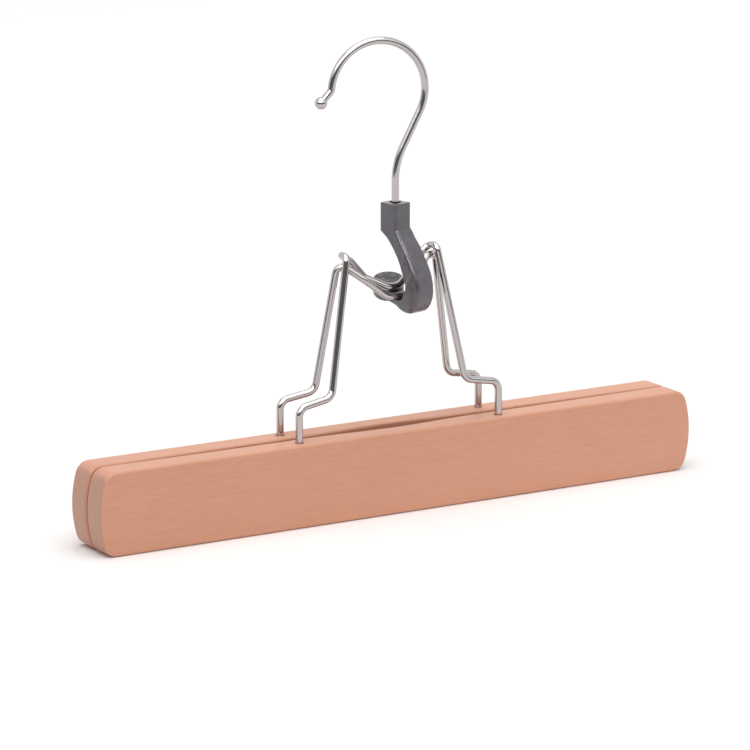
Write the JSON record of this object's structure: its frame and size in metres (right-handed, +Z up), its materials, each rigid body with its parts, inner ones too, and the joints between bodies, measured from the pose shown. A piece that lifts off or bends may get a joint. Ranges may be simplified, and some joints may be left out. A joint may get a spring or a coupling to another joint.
{
  "type": "hair extension hanger",
  "caption": "Clamp hanger: two felt-lined wooden bars on hinged wire frames grip the top of a hair weft, held shut by a lock clip below a swivel hook.",
  "frame": {"origin": "middle of the footprint, on the surface that the bars stand on", "axes": "+X along the bars, +Y from the front bar to the rear bar, +Z up towards the hook"},
  "size_m": [0.25, 0.026, 0.1729],
  "materials": {
    "front_bar": "satin varnish on fine-grained wood",
    "rear_bar": "satin varnish on fine-grained wood",
    "front_lining": "felt",
    "rear_lining": "felt",
    "front_wire_frame": "bright plated wire",
    "rear_wire_frame": "bright plated wire",
    "lock_clip": "semi-matt moulded",
    "hook": "bright plated wire"
  },
  "bodies": {
    "front_jaw": {"front_bar": "front_bar", "front_lining": "front_lining", "front_wire_frame": "front_wire_frame"},
    "rear_jaw": {"rear_bar": "rear_bar", "rear_lining": "rear_lining", "rear_wire_frame": "rear_wire_frame"},
    "clip": {"lock_clip": "lock_clip"},
    "hook": {"hook": "hook"}
  },
  "joints": [
    {"name": "jaw_hinge", "type": "hinge", "parent": "front_jaw", "child": "rear_jaw", "pos_m": [0, 0.0012, 0.09345], "axis": [1, 0, 0], "range_deg": [0, 12]},
    {"name": "clip_press", "type": "slide", "parent": "front_jaw", "child": "clip", "axis": [0, 0, -1], "range_m": [0, 0.006]},
    {"name": "hook_swivel", "type": "hinge", "parent": "clip", "child": "hook", "pos_m": [0.00406, 0.0032, 0.11215], "axis": [0, 0, 1], "continuous": true}
  ],
  "couplings": [
    {"joint": "clip_press", "follows": "jaw_hinge", "m_per_rad": 0.02864}
  ]
}
